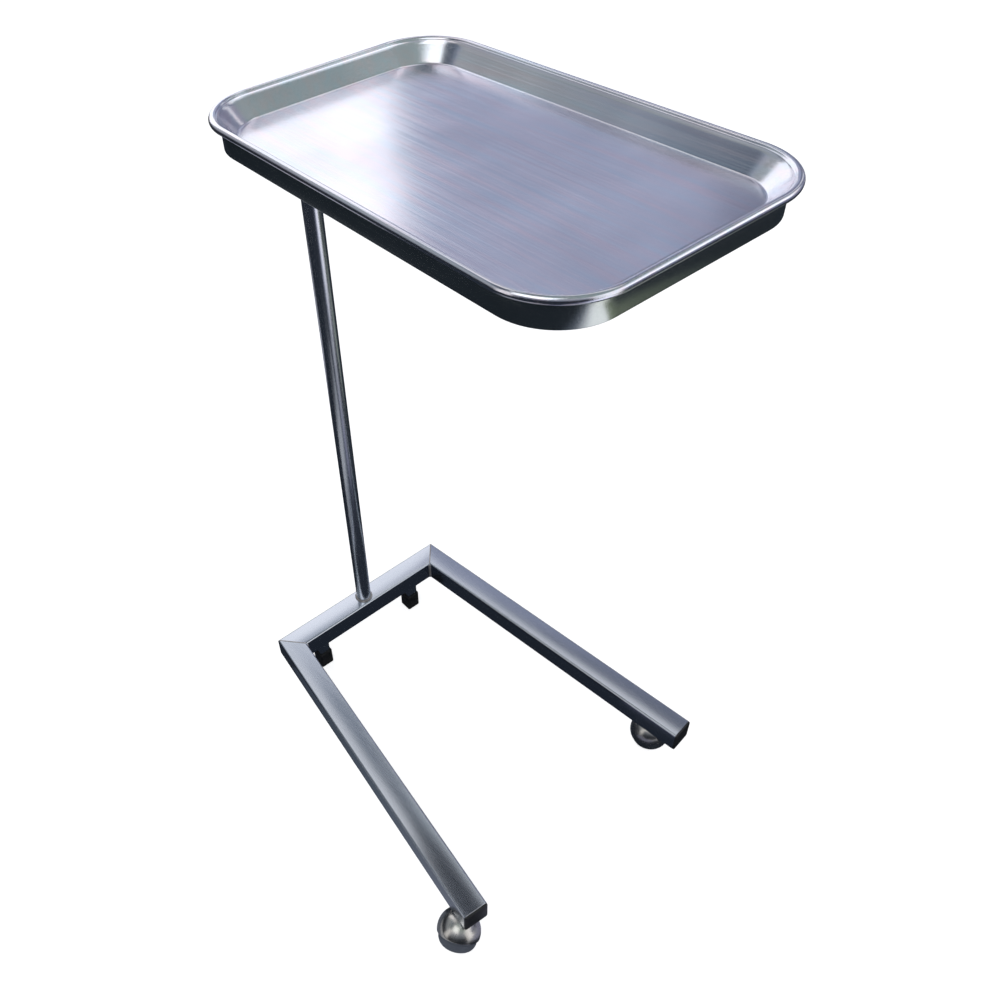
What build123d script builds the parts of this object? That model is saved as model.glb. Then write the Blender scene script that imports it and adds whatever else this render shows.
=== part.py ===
from build123d import *
import math
import os

os.makedirs("parts", exist_ok=True)

# Mayo instrument stand: a U base of square tube, a telescopic post and a lift-out tray.
# Millimetres. +Z is up and z = 0 is the floor. The origin is in the middle of the
# stand's depth. The user stands at -Y, where the base is open, and +X is the right.

# Base tubes
tube_side = 38.0
tube_wall = 1.5
tube_corner = 3.0
rear_width = 342.0
front_width = 464.0
leg_reach = 534.0
weld_leg = 4.0

# Leg plugs
plug_flange = 4.0
plug_edge = 1.4
plug_spigot = 18.0
plug_wall = 2.5
plug_gap = 0.25

# Rear feet
foot_spacing = 200.0
stem_side = 20.0
stem_wall = 1.5
cap_wall = 2.2
cap_sole = 6.0
cap_height = 34.0
cap_edge = 1.5
cap_gap = 0.1

# Post
post_radius = 12.7
post_wall = 1.5
post_gap = 0.1
post_weld_leg = 3.0
mast_wall = 1.5
mast_overlap = 100.0
lift = 300.0
slide_gap = 0.08
bush_length = 26.0
bush_lip = 2.0
bush_wall = 1.7
glide_length = 20.0
glide_sole = 2.0
fit_gap = 0.05

# Clamp
collar_radius = 18.0
collar_skirt = 22.0
collar_head = 22.0
collar_edge = 1.0
boss_radius = 8.0
boss_length = 7.0
screw_radius = 4.0
screw_tip_gap = 0.3
screw_chamfer = 1.0
knob_radius = 18.0
knob_thickness = 15.0
knob_lobes = 7
knob_scallop = 5.0
knob_edge = 2.0
knob_stand_off = 3.0
knob_socket_depth = 10.0
knob_arm_gap = 2.5

# Tray
tray_length = 520.0
tray_width = 326.0
tray_corner = 72.0
tray_offset = 306.0
tray_depth = 19.0
tray_sheet = 1.0
tray_wall_slope = 41.0
rim_height = 1032.0
bead_radius = 4.0
bead_flat = 0.2
flange_width = 7.0
floor_fillet = 3.0

# Tray frame
band_height = 23.0
band_thickness = 3.0
band_inset = 10.0
band_edge = 0.6
band_seat_gap = 0.1
bearer_width = 25.0
bearer_thickness = 4.0
bearer_spacing = 240.0
arm_width = 32.0
arm_thickness = 10.0
arm_edge = 1.0
arm_weld_leg = 3.0

# Casters
caster_inset = 30.0
trail = 24.0
left_trail_angle = 214.0
right_trail_angle = 80.0
wheel_tilt = 45.0
hood_height = 31.0
hood_room = 1.5
hood_wall = 2.0
hood_hem_offset = 6.0
hood_top_gap = 2.0
hood_boss_radius = 9.0
hood_boss_depth = 16.0
axle_boss_radius = 7.0
wheel_radius = 27.5
wheel_round = 15.5
wheel_inner_end = 3.0
hub_recess = 1.0
axle_radius = 3.0
axle_root = 11.0
axle_end_gap = 1.5
pin_radius = 4.0
head_gap = 0.3
race_radius = 10.0
race_height = 4.0
stud_radius = 5.0
stud_above_nut = 4.0
nut_width = 17.0
nut_sides = 6
nut_height = 8.0
running_gap = 0.08

# Heights and places that follow from the sizes above
hood_radius = wheel_radius + hood_room + hood_wall
hub_radius = wheel_radius - wheel_round
tilt_sine = math.sin(math.radians(wheel_tilt))
tilt_cosine = math.cos(math.radians(wheel_tilt))
wheel_straight = (hood_height - wheel_round - hub_radius * tilt_cosine) / tilt_sine
wheel_outer_end = wheel_straight + wheel_round
tube_bottom = hood_height + hood_radius + hood_top_gap
race_bottom = tube_bottom - race_height
hood_boss_bottom = race_bottom - hood_boss_depth
tube_top = tube_bottom + tube_side
tube_middle = tube_bottom + tube_side / 2
tube_bore = tube_side - 2 * tube_wall
tube_bore_corner = tube_corner - tube_wall
post_y = (tray_offset + tray_length / 2 - tube_side / 2) / 2
tray_y = post_y - tray_offset
post_bore = post_radius - post_wall
mast_radius = post_bore - bush_wall
rear_corner_y = post_y + tube_side / 2
flare = math.atan2((front_width - rear_width) / 2, leg_reach + tube_side / 2)
seat_height = rim_height - bead_radius + tray_sheet / 2
wall_lean = math.radians(tray_wall_slope)
band_reach = band_inset + band_thickness - flange_width
band_top = seat_height - band_reach / math.tan(wall_lean) - band_seat_gap
band_bottom = band_top - band_height
sheet_run = tray_sheet / math.cos(wall_lean)
arm_top = band_bottom
arm_bottom = arm_top - arm_thickness
screw_height = arm_bottom - knob_arm_gap - knob_radius
collar_shoulder = screw_height - collar_head / 2
post_top = collar_shoulder - bush_lip
mast_bottom = post_top - mast_overlap - lift


def save(builder, name):
    builder.part.label = name
    export_step(builder.part, f"parts/{name}.step")


def leg_direction(side):
    return Vector(side * math.sin(flare), -math.cos(flare), 0)


def leg_inward(side):
    return Vector(-side * math.cos(flare), -math.sin(flare), 0)


def leg_end(side, height):
    outer_corner = Vector(side * front_width / 2, post_y - leg_reach, height)
    return outer_corner + leg_inward(side) * (tube_side / 2)


def mitre(side):
    # The bisector of the corner, from its outer edge to its inner edge
    bisector = Vector(-side, 0, 0) + leg_direction(side)
    corner = Vector(side * rear_width / 2, rear_corner_y, tube_middle)
    return Plane(origin=corner, x_dir=bisector, z_dir=Vector(0, 0, side).cross(bisector))


def inner_corner(side, height):
    bisector = Vector(-side, 0, 0) + leg_direction(side)
    corner = Vector(side * rear_width / 2, rear_corner_y, height)
    return corner + bisector * (tube_side / abs(bisector.Y))


# Crossbar: square tube with both ends mitred and a hole for the post
with BuildPart() as crossbar:
    with BuildSketch(Plane.YZ.offset(-rear_width / 2)) as crossbar_section:
        with Locations((post_y, tube_middle)):
            RectangleRounded(tube_side, tube_side, tube_corner)
            RectangleRounded(tube_bore, tube_bore, tube_bore_corner, mode=Mode.SUBTRACT)
    extrude(amount=rear_width)
    split(bisect_by=mitre(1), keep=Keep.BOTTOM)
    split(bisect_by=mitre(-1), keep=Keep.BOTTOM)
    with BuildSketch(Plane.XY.offset(tube_middle)) as post_socket:
        with Locations((0, post_y)):
            Circle(post_radius + post_gap)
    extrude(amount=tube_side / 2, mode=Mode.SUBTRACT)
save(crossbar, "crossbar")


# Legs: square tube, mitred at the rear, cut square at the front, drilled for the caster
def build_leg(side, name):
    end_plane = Plane(
        origin=leg_end(side, tube_middle), x_dir=leg_inward(side), z_dir=-leg_direction(side)
    )
    stud = leg_end(side, tube_bottom) - leg_direction(side) * caster_inset
    with BuildPart() as leg:
        with BuildSketch(end_plane) as leg_section:
            RectangleRounded(tube_side, tube_side, tube_corner)
            RectangleRounded(tube_bore, tube_bore, tube_bore_corner, mode=Mode.SUBTRACT)
        extrude(amount=leg_reach + 2 * tube_side)
        split(bisect_by=mitre(side), keep=Keep.TOP)
        with BuildSketch(Plane.XY.offset(tube_bottom)) as stud_hole:
            with Locations((stud.X, stud.Y)):
                Circle(stud_radius + post_gap)
        extrude(amount=tube_side / 2, mode=Mode.SUBTRACT)
    save(leg, name)


# Corner welds: a fillet bead in the upright inner corner of each mitre
def build_corner_weld(side, name):
    corner = inner_corner(side, 0)
    along_bar = corner + Vector(-side, 0, 0) * weld_leg
    along_leg = corner + leg_direction(side) * weld_leg
    with BuildPart() as weld:
        with BuildSketch(Plane.XY.offset(tube_bottom + tube_corner)) as weld_section:
            with BuildLine() as weld_outline:
                Polyline(
                    (corner.X, corner.Y),
                    (along_bar.X, along_bar.Y),
                    (along_leg.X, along_leg.Y),
                    close=True,
                )
            make_face()
        extrude(amount=tube_side - 2 * tube_corner)
    save(weld, name)


# Leg plugs: a domed flange over the tube's end and a hollow spigot inside it
def build_plug(side, name):
    end_plane = Plane(
        origin=leg_end(side, tube_middle), x_dir=leg_inward(side), z_dir=leg_direction(side)
    )
    spigot_side = tube_bore - 2 * plug_gap
    spigot_hollow = spigot_side - 2 * plug_wall
    with BuildPart() as plug:
        with BuildSketch(end_plane) as flange_section:
            RectangleRounded(tube_side, tube_side, tube_corner)
        extrude(amount=plug_flange)
        outer_face = plug.faces().sort_by(Axis(end_plane.origin, end_plane.z_dir))[-1]
        fillet(outer_face.edges(), radius=plug_edge)
        with BuildSketch(end_plane) as spigot_section:
            RectangleRounded(spigot_side, spigot_side, tube_bore_corner)
            Rectangle(spigot_hollow, spigot_hollow, mode=Mode.SUBTRACT)
        extrude(amount=-plug_spigot)
    save(plug, name)


for side, hand in ((-1, "left"), (1, "right")):
    build_leg(side, f"{hand}_leg")
    build_corner_weld(side, f"{hand}_corner_weld")
    build_plug(side, f"{hand}_leg_plug")


# Rear feet: a square stub under the crossbar and a rubber cap that grips the floor
def build_foot(side, hand):
    x = side * foot_spacing / 2
    cap_side = stem_side + 2 * cap_gap + 2 * cap_wall
    with BuildPart() as stem:
        with BuildSketch(Plane.XY.offset(cap_sole)) as stem_section:
            with Locations((x, post_y)):
                Rectangle(stem_side, stem_side)
                Rectangle(stem_side - 2 * stem_wall, stem_side - 2 * stem_wall, mode=Mode.SUBTRACT)
        extrude(amount=tube_bottom - cap_sole)
    save(stem, f"{hand}_foot_stem")
    with BuildPart() as cap:
        with BuildSketch() as cap_section:
            with Locations((x, post_y)):
                RectangleRounded(cap_side, cap_side, cap_edge)
        extrude(amount=cap_height)
        with BuildSketch(Plane.XY.offset(cap_sole)) as cap_socket:
            with Locations((x, post_y)):
                Rectangle(stem_side + 2 * cap_gap, stem_side + 2 * cap_gap)
        extrude(amount=cap_height - cap_sole, mode=Mode.SUBTRACT)
        fillet(cap.faces().sort_by(Axis.Z)[0].edges(), radius=cap_edge)
    save(cap, f"{hand}_foot_cap")


build_foot(-1, "left")
build_foot(1, "right")

# Outer post: a round tube that stands on the crossbar's lower wall
with BuildPart() as outer_post:
    with BuildSketch(Plane.XY.offset(tube_bottom + tube_wall)) as outer_post_section:
        with Locations((0, post_y)):
            Circle(post_radius)
            Circle(post_bore, mode=Mode.SUBTRACT)
    extrude(amount=post_top - tube_bottom - tube_wall)
save(outer_post, "outer_post")


# A ring of fillet weld around a round tube, standing up or hanging down
def build_ring_weld(name, radius, height, leg, up):
    inner = radius + fit_gap
    post_axis = Axis((0, post_y, 0), (0, 0, 1))
    with BuildPart() as weld:
        with BuildSketch(Plane.XZ.offset(-post_y)) as weld_section:
            with BuildLine() as weld_outline:
                Polyline(
                    (inner, height),
                    (inner + leg, height),
                    (inner, height + up * leg),
                    close=True,
                )
            make_face()
        revolve(axis=post_axis)
    save(weld, name)


build_ring_weld("post_weld", post_radius, tube_top, post_weld_leg, 1)

# Post bush: a nylon sleeve with a lip on the outer post's top edge
with BuildPart() as post_bush:
    with BuildSketch(Plane.XY.offset(post_top - bush_length)) as bush_sleeve:
        with Locations((0, post_y)):
            Circle(post_bore - fit_gap)
            Circle(mast_radius + slide_gap, mode=Mode.SUBTRACT)
    extrude(amount=bush_length)
    with BuildSketch(Plane.XY.offset(post_top)) as bush_lip_section:
        with Locations((0, post_y)):
            Circle(post_radius)
            Circle(mast_radius + slide_gap, mode=Mode.SUBTRACT)
    extrude(amount=bush_lip)
save(post_bush, "post_bush")

# Clamp collar: a skirt over the outer post, a head over the bush and a tapped boss
collar_bottom = post_top - collar_skirt
collar_top = collar_shoulder + collar_head
boss_end = collar_radius + boss_length
with BuildPart() as clamp_collar:
    with BuildSketch(Plane.XY.offset(collar_bottom)) as collar_section:
        with Locations((0, post_y)):
            Circle(collar_radius)
    extrude(amount=collar_top - collar_bottom)
    collar_rims = clamp_collar.edges().filter_by(GeomType.CIRCLE)
    fillet(collar_rims, radius=collar_edge)
    with BuildSketch(Plane.YZ) as boss_section:
        with Locations((post_y, screw_height)):
            Circle(boss_radius)
    extrude(amount=boss_end)
    with BuildSketch(Plane.XY.offset(collar_bottom)) as skirt_bore:
        with Locations((0, post_y)):
            Circle(post_radius + post_gap)
    extrude(amount=collar_shoulder - collar_bottom, mode=Mode.SUBTRACT)
    with BuildSketch(Plane.XY.offset(collar_shoulder)) as head_bore:
        with Locations((0, post_y)):
            Circle(mast_radius + slide_gap)
    extrude(amount=collar_head, mode=Mode.SUBTRACT)
    with BuildSketch(Plane.YZ) as screw_bore:
        with Locations((post_y, screw_height)):
            Circle(screw_radius + running_gap)
    extrude(amount=boss_end, mode=Mode.SUBTRACT)
save(clamp_collar, "clamp_collar")

# Clamp screw and knob: the screw bears on the mast and the knob turns it
knob_start = boss_end + knob_stand_off
screw_start = mast_radius + screw_tip_gap
screw_end = knob_start + knob_socket_depth
with BuildPart() as clamp_screw:
    with BuildSketch(Plane.YZ.offset(screw_start)) as screw_section:
        with Locations((post_y, screw_height)):
            Circle(screw_radius)
    extrude(amount=screw_end - screw_start)
    chamfer(clamp_screw.edges().sort_by(Axis.X)[0], length=screw_chamfer)
save(clamp_screw, "clamp_screw")

with BuildPart() as clamp_knob:
    with BuildSketch(Plane.YZ.offset(knob_start)) as knob_section:
        with Locations((post_y, screw_height)):
            Circle(knob_radius)
            with PolarLocations(knob_radius + knob_scallop / 2, knob_lobes):
                Circle(knob_scallop, mode=Mode.SUBTRACT)
    extrude(amount=knob_thickness)
    fillet(clamp_knob.faces().sort_by(Axis.X)[-1].edges(), radius=knob_edge)
    with BuildSketch(Plane.YZ.offset(knob_start)) as knob_socket:
        with Locations((post_y, screw_height)):
            Circle(screw_radius)
    extrude(amount=knob_socket_depth, mode=Mode.SUBTRACT)
save(clamp_knob, "clamp_knob")

# Mast: the inner post, which slides in the bush and carries the tray frame
with BuildPart() as mast:
    with BuildSketch(Plane.XY.offset(mast_bottom)) as mast_section:
        with Locations((0, post_y)):
            Circle(mast_radius)
            Circle(mast_radius - mast_wall, mode=Mode.SUBTRACT)
    extrude(amount=arm_bottom - mast_bottom)
save(mast, "mast")

with BuildPart() as mast_glide:
    with BuildSketch(Plane.XY.offset(mast_bottom - glide_sole)) as glide_section:
        with Locations((0, post_y)):
            Circle(post_bore - slide_gap)
    extrude(amount=glide_length)
    with BuildSketch(Plane.XY.offset(mast_bottom)) as glide_socket:
        with Locations((0, post_y)):
            Circle(mast_radius + fit_gap)
    extrude(amount=glide_length, mode=Mode.SUBTRACT)
save(mast_glide, "mast_glide")

build_ring_weld("mast_weld", mast_radius, arm_bottom, arm_weld_leg, -1)

# Support arm: a flat bar that runs from the mast forward under the tray frame
front_bearer_y = tray_y - bearer_spacing / 2
arm_front = front_bearer_y - bearer_width / 2
with BuildPart() as support_arm:
    with BuildSketch(Plane.XY.offset(arm_bottom)) as arm_section:
        with Locations((0, (post_y + arm_front) / 2)):
            Rectangle(arm_width, post_y - arm_front)
        with Locations((0, post_y)):
            Circle(arm_width / 2)
    extrude(amount=arm_thickness)
    chamfer(support_arm.faces().sort_by(Axis.Z)[0].edges(), length=arm_edge)
save(support_arm, "support_arm")

# Tray frame: flat bar on edge, bent to a rounded rectangle
band_width = tray_width - 2 * band_inset
band_length = tray_length - 2 * band_inset
band_corner = tray_corner - band_inset
with BuildPart() as tray_frame:
    with BuildSketch(Plane.XY.offset(band_bottom)) as band_section:
        with Locations((0, tray_y)):
            RectangleRounded(band_width, band_length, band_corner)
            RectangleRounded(
                band_width - 2 * band_thickness,
                band_length - 2 * band_thickness,
                band_corner - band_thickness,
                mode=Mode.SUBTRACT,
            )
    extrude(amount=band_height)
    fillet(tray_frame.faces().sort_by(Axis.Z)[0].outer_wire().edges(), radius=band_edge)
save(tray_frame, "tray_frame")


# Bearers: flat bars across the frame, flush with its lower edge and on the arm
def build_bearer(name, y):
    with BuildPart() as bearer:
        with BuildSketch(Plane.XY.offset(band_bottom)) as bearer_section:
            with Locations((0, y)):
                Rectangle(band_width - 2 * band_thickness, bearer_width)
        extrude(amount=bearer_thickness)
    save(bearer, name)


build_bearer("rear_bearer", tray_y + bearer_spacing / 2)
build_bearer("front_bearer", front_bearer_y)

# Tray: a pressed pan with a narrow flange and a rolled bead around the rim. Its sloped
# wall rests on the inner top edge of the frame
pan_width = tray_width - 2 * flange_width
pan_length = tray_length - 2 * flange_width
pan_corner = tray_corner - flange_width
with BuildPart() as bead:
    with BuildSketch(Plane.XY.offset(rim_height - 2 * bead_radius)) as bead_section:
        with Locations((0, tray_y)):
            RectangleRounded(tray_width, tray_length, tray_corner)
            RectangleRounded(
                tray_width - 4 * bead_radius,
                tray_length - 4 * bead_radius,
                tray_corner - 2 * bead_radius,
                mode=Mode.SUBTRACT,
            )
    extrude(amount=2 * bead_radius)
    fillet(bead.faces().filter_by(Axis.Z).edges(), radius=bead_radius - bead_flat / 2)

with BuildPart() as pan_hollow:
    with BuildSketch(Plane.XY.offset(seat_height)) as pan_inner:
        with Locations((0, tray_y)):
            RectangleRounded(
                pan_width - 2 * sheet_run,
                pan_length - 2 * sheet_run,
                pan_corner - sheet_run,
            )
    extrude(amount=-tray_depth, taper=tray_wall_slope)
    fillet(pan_hollow.faces().sort_by(Axis.Z)[0].edges(), radius=floor_fillet)

with BuildPart() as tray:
    with BuildSketch(Plane.XY.offset(seat_height)) as pan_outer:
        with Locations((0, tray_y)):
            RectangleRounded(pan_width, pan_length, pan_corner)
    extrude(amount=-tray_depth - tray_sheet, taper=tray_wall_slope)
    fillet(tray.faces().sort_by(Axis.Z)[0].edges(), radius=floor_fillet + tray_sheet)
    with BuildSketch(Plane.XY.offset(seat_height - tray_sheet)) as flange_section:
        with Locations((0, tray_y)):
            RectangleRounded(
                tray_width - 2 * bead_radius,
                tray_length - 2 * bead_radius,
                tray_corner - bead_radius,
            )
    extrude(amount=tray_sheet)
    add(pan_hollow.part, mode=Mode.SUBTRACT)
    add(bead.part)
save(tray, "tray")


# Casters: a stud and nut in the leg, a ball hood that swivels and trails, and a bell wheel
# on a tilted axle, which leaves the hood's open side and meets the floor with its round
def build_caster(side, hand, trail_angle):
    stud_at = leg_end(side, 0) - leg_direction(side) * caster_inset
    aim = Vector(math.cos(math.radians(trail_angle)), math.sin(math.radians(trail_angle)), 0)
    across = Vector(-aim.Y, aim.X, 0)
    hood_at = stud_at + aim * trail + Vector(0, 0, hood_height)
    axle_way = aim * tilt_cosine - Vector(0, 0, 1) * tilt_sine
    nut_bottom = tube_bottom + tube_wall
    axle_axis = Axis(hood_at, axle_way)
    axle_plane = Plane(origin=hood_at, z_dir=axle_way)
    profile_plane = Plane(origin=hood_at, x_dir=axle_way, z_dir=across)

    with BuildPart() as stem:
        with BuildSketch(Plane.XY.offset(hood_boss_bottom + head_gap)) as pin_face:
            with Locations((stud_at.X, stud_at.Y)):
                Circle(pin_radius)
        extrude(amount=race_bottom - hood_boss_bottom - head_gap)
        with BuildSketch(Plane.XY.offset(race_bottom)) as stud_face:
            with Locations((stud_at.X, stud_at.Y)):
                Circle(stud_radius)
        extrude(amount=nut_bottom + nut_height + stud_above_nut - race_bottom)
    save(stem, f"{hand}_caster_stem")

    with BuildPart() as race:
        with BuildSketch(Plane.XY.offset(race_bottom)) as race_face:
            with Locations((stud_at.X, stud_at.Y)):
                Circle(race_radius)
                Circle(stud_radius + fit_gap, mode=Mode.SUBTRACT)
        extrude(amount=race_height)
    save(race, f"{hand}_caster_race")

    with BuildPart() as nut:
        with BuildSketch(Plane.XY.offset(nut_bottom)) as nut_face:
            with Locations((stud_at.X, stud_at.Y)):
                RegularPolygon(nut_width / 2, nut_sides, major_radius=False)
                Circle(stud_radius + fit_gap, mode=Mode.SUBTRACT)
        extrude(amount=nut_height)
    save(nut, f"{hand}_caster_nut")

    with BuildPart() as hood:
        with Locations(hood_at):
            Sphere(hood_radius)
            Sphere(hood_radius - hood_wall, mode=Mode.SUBTRACT)
        split(bisect_by=axle_plane.offset(hood_hem_offset), keep=Keep.BOTTOM)
        with BuildSketch(axle_plane.offset(-wheel_inner_end - head_gap)) as axle_boss:
            Circle(axle_boss_radius)
        extrude(amount=-(hood_radius - hood_wall - wheel_inner_end - head_gap))
        with BuildSketch(Plane.XY.offset(hood_boss_bottom)) as pin_boss:
            with Locations((stud_at.X, stud_at.Y)):
                Circle(hood_boss_radius)
        extrude(amount=race_bottom - head_gap - hood_boss_bottom)
        with BuildSketch(Plane.XY.offset(race_bottom - head_gap)) as race_relief:
            with Locations((stud_at.X, stud_at.Y)):
                Circle(race_radius + head_gap)
        extrude(amount=race_height, mode=Mode.SUBTRACT)
        with BuildSketch(Plane.XY.offset(hood_boss_bottom)) as pin_bore:
            with Locations((stud_at.X, stud_at.Y)):
                Circle(pin_radius + running_gap)
        extrude(amount=hood_radius, mode=Mode.SUBTRACT)
        with BuildSketch(axle_plane.offset(-wheel_inner_end - head_gap)) as axle_bore:
            Circle(axle_radius + fit_gap)
        extrude(amount=-axle_root, mode=Mode.SUBTRACT)
    save(hood, f"{hand}_caster_hood")

    axle_start = wheel_inner_end + axle_root
    axle_end = wheel_outer_end - hub_recess - axle_end_gap
    with BuildPart() as axle:
        with BuildSketch(axle_plane.offset(-axle_start)) as axle_face:
            Circle(axle_radius)
        extrude(amount=axle_start + axle_end)
    save(axle, f"{hand}_caster_axle")

    hub_end = wheel_outer_end - hub_recess
    with BuildPart() as hub:
        with BuildSketch(axle_plane.offset(-wheel_inner_end)) as hub_face:
            Circle(hub_radius)
            Circle(axle_radius + running_gap, mode=Mode.SUBTRACT)
        extrude(amount=wheel_inner_end + hub_end)
    save(hub, f"{hand}_wheel_hub")

    round_middle = (
        wheel_straight + wheel_round * math.sqrt(0.5),
        hub_radius + wheel_round * math.sqrt(0.5),
    )
    with BuildPart() as tread:
        with BuildSketch(profile_plane) as tread_profile:
            with BuildLine() as tread_outline:
                Line((-wheel_inner_end, hub_radius), (-wheel_inner_end, wheel_radius))
                Line((-wheel_inner_end, wheel_radius), (wheel_straight, wheel_radius))
                ThreePointArc((wheel_straight, wheel_radius), round_middle, (wheel_outer_end, hub_radius))
                Line((wheel_outer_end, hub_radius), (-wheel_inner_end, hub_radius))
            make_face()
        revolve(axis=axle_axis)
    save(tread, f"{hand}_wheel_tread")


build_caster(-1, "left", left_trail_angle)
build_caster(1, "right", right_trail_angle)
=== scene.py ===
import math

import bmesh
import bpy
from mathutils import Matrix, Vector


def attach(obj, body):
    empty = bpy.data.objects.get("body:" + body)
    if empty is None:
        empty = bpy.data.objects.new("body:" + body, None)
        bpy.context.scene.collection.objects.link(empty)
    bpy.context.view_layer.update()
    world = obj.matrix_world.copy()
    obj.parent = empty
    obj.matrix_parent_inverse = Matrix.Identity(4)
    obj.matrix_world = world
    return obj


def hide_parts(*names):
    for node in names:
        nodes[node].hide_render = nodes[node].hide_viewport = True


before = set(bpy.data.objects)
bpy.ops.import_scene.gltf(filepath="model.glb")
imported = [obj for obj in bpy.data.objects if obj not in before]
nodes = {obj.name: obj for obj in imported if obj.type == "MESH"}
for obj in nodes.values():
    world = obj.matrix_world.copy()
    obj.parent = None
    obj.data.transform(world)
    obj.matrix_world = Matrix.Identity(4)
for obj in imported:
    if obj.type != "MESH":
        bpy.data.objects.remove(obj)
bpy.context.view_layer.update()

mm = 0.001


# sRGB hex to the linear values that the shaders take
def linear(hexColour):
    parts = [int(hexColour[i:i + 2], 16) / 255 for i in (1, 3, 5)]
    return tuple(c / 12.92 if c <= 0.04045 else ((c + 0.055) / 1.055) ** 2.4 for c in parts) + (1.0,)


def addNode(tree, kind, values=None, links=None, **settings):
    node = tree.nodes.new(kind)
    for name, value in settings.items():
        setattr(node, name, value)
    for key, value in (values or {}).items():
        node.inputs[key].default_value = value
    for key, socket in (links or {}).items():
        tree.links.new(socket, node.inputs[key])
    return node


def newMaterial(name):
    material = bpy.data.materials.new(name)
    material.use_nodes = True
    tree = material.node_tree
    place = addNode(tree, "ShaderNodeTexCoord").outputs["Object"]
    return material, tree, tree.nodes["Principled BSDF"], place


# Stretched noise is what a belt or a brush leaves: long one way, fine the other
def brushLines(tree, place, turn, length, spacing, detail=3.0):
    turned = addNode(tree, "ShaderNodeMapping", {"Rotation": turn}, {"Vector": place})
    fine = [1 / spacing] * 3
    fine[0] = 1 / length
    scaled = addNode(tree, "ShaderNodeMapping", {"Scale": fine}, {"Vector": turned.outputs["Vector"]})
    noise = addNode(tree, "ShaderNodeTexNoise", {"Scale": 1.0, "Detail": detail, "Roughness": 0.6},
                    {"Vector": scaled.outputs["Vector"]})
    return noise.outputs["Fac"]


# Noise seldom leaves the middle of its range, so that part is spread over a look's two values
noiseLow, noiseHigh = 0.3, 0.7


# Every finish mixes its two colours by one noise and its roughness by another. Returns the colour
def finish(tree, shader, look, tone, grain, normal):
    levels = []
    for source, low, high in ((tone, 0, 1), (grain, look["smooth"], look["rough"])):
        levels.append(addNode(tree, "ShaderNodeMapRange", {
            "From Min": noiseLow, "From Max": noiseHigh, "To Min": low, "To Max": high}, {"Value": source}))
    mix = addNode(tree, "ShaderNodeMix", {"A": linear(look["dark"]), "B": linear(look["light"])},
                  {"Factor": levels[0].outputs["Result"]}, data_type="RGBA")
    tree.links.new(mix.outputs["Result"], shader.inputs["Base Color"])
    tree.links.new(levels[1].outputs["Result"], shader.inputs["Roughness"])
    tree.links.new(normal, shader.inputs["Normal"])
    return mix.outputs["Result"]


# Brushed or belt-polished stainless steel: mirror-like with fine lines along the work,
# which smear a reflection across the lines and leave it sharp along them
def stainless(name, look):
    material, tree, shader, place = newMaterial(name)
    lines = brushLines(tree, place, look["turn"], look["lineLength"], look["lineSpacing"])
    broad = addNode(tree, "ShaderNodeTexNoise", {"Scale": 1 / look["patch"], "Detail": 2.0},
                    {"Vector": place})
    # The tone is the broad noise, with a share of the lines about their mean
    share = look["lineShare"]
    tone = addNode(tree, "ShaderNodeMath", {1: share}, {0: lines, 2: broad.outputs["Fac"]},
                   operation="MULTIPLY_ADD")
    tone = addNode(tree, "ShaderNodeMath", {1: share / 2}, {0: tone.outputs[0]}, operation="SUBTRACT")
    bump = addNode(tree, "ShaderNodeBump", {"Strength": look["lineStrength"], "Distance": look["lineDepth"]},
                   {"Height": lines})
    waves = addNode(tree, "ShaderNodeBump", {"Strength": 1.0, "Distance": look["waveHeight"]},
                    {"Height": broad.outputs["Fac"], "Normal": bump.outputs["Normal"]})
    colour = finish(tree, shader, look, tone.outputs[0], lines, waves.outputs["Normal"])
    shader.inputs["Metallic"].default_value = 1.0
    if "tints" in look:
        bands = brushLines(tree, place, look["turn"], look["tintLength"], look["tintWidth"], 2.0)
        amount = addNode(tree, "ShaderNodeMapRange", {"From Min": noiseLow, "From Max": noiseHigh},
                         {"Value": bands})
        first, second = look["tints"]
        tint = addNode(tree, "ShaderNodeMix", {"A": linear(first), "B": linear(second)},
                       {"Factor": amount.outputs["Result"]}, data_type="RGBA")
        tinted = addNode(tree, "ShaderNodeMix", {"Factor": 1.0}, {"A": colour, "B": tint.outputs["Result"]},
                         data_type="RGBA", blend_type="MULTIPLY")
        tree.links.new(tinted.outputs["Result"], shader.inputs["Base Color"])
    return material


# Welded stainless square tube, linished with a belt: smooth sides with long faint lines, dark where they show
# the painted dark reflections
tubeLook = {
    "turn": (0, 0, 0),
    "lineLength": 0.12,       # belt marks run about 120 mm
    "lineSpacing": 0.0011,    # real lines are about 0.1 mm apart, drawn at 1.1 mm so that they show
    "lineShare": 0.45,
    "lineStrength": 0.03,
    "lineDepth": 0.00005,
    "patch": 0.16,
    "waveHeight": 0.00025,
    "dark": "#b6bbc4",
    "light": "#c0c4cd",
    "smooth": 0.18,
    "rough": 0.22,
}
tubeAcross = stainless("linishedStainlessAcross", tubeLook)
# Drawn stainless tube: brighter, with its lines along the draw, so highlights stay thin and upright
tubeUp = stainless("drawnStainlessUp", {
    **tubeLook, "turn": (0, math.pi / 2, 0), "dark": "#b9bdc6", "light": "#d2d5dc", "smooth": 0.2,
    "rough": 0.28,
})
# Bright cold-rolled flat bar: near mirror, a little warmer, with the cards' painted dark reflections clear in
# it
barSteel = stainless("brightFlatBar", {
    **tubeLook, "turn": (0, 0, math.pi / 2), "lineStrength": 0.06, "dark": "#adb3ae", "light": "#c6ccc7",
    "smooth": 0.15, "rough": 0.24,
})
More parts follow.
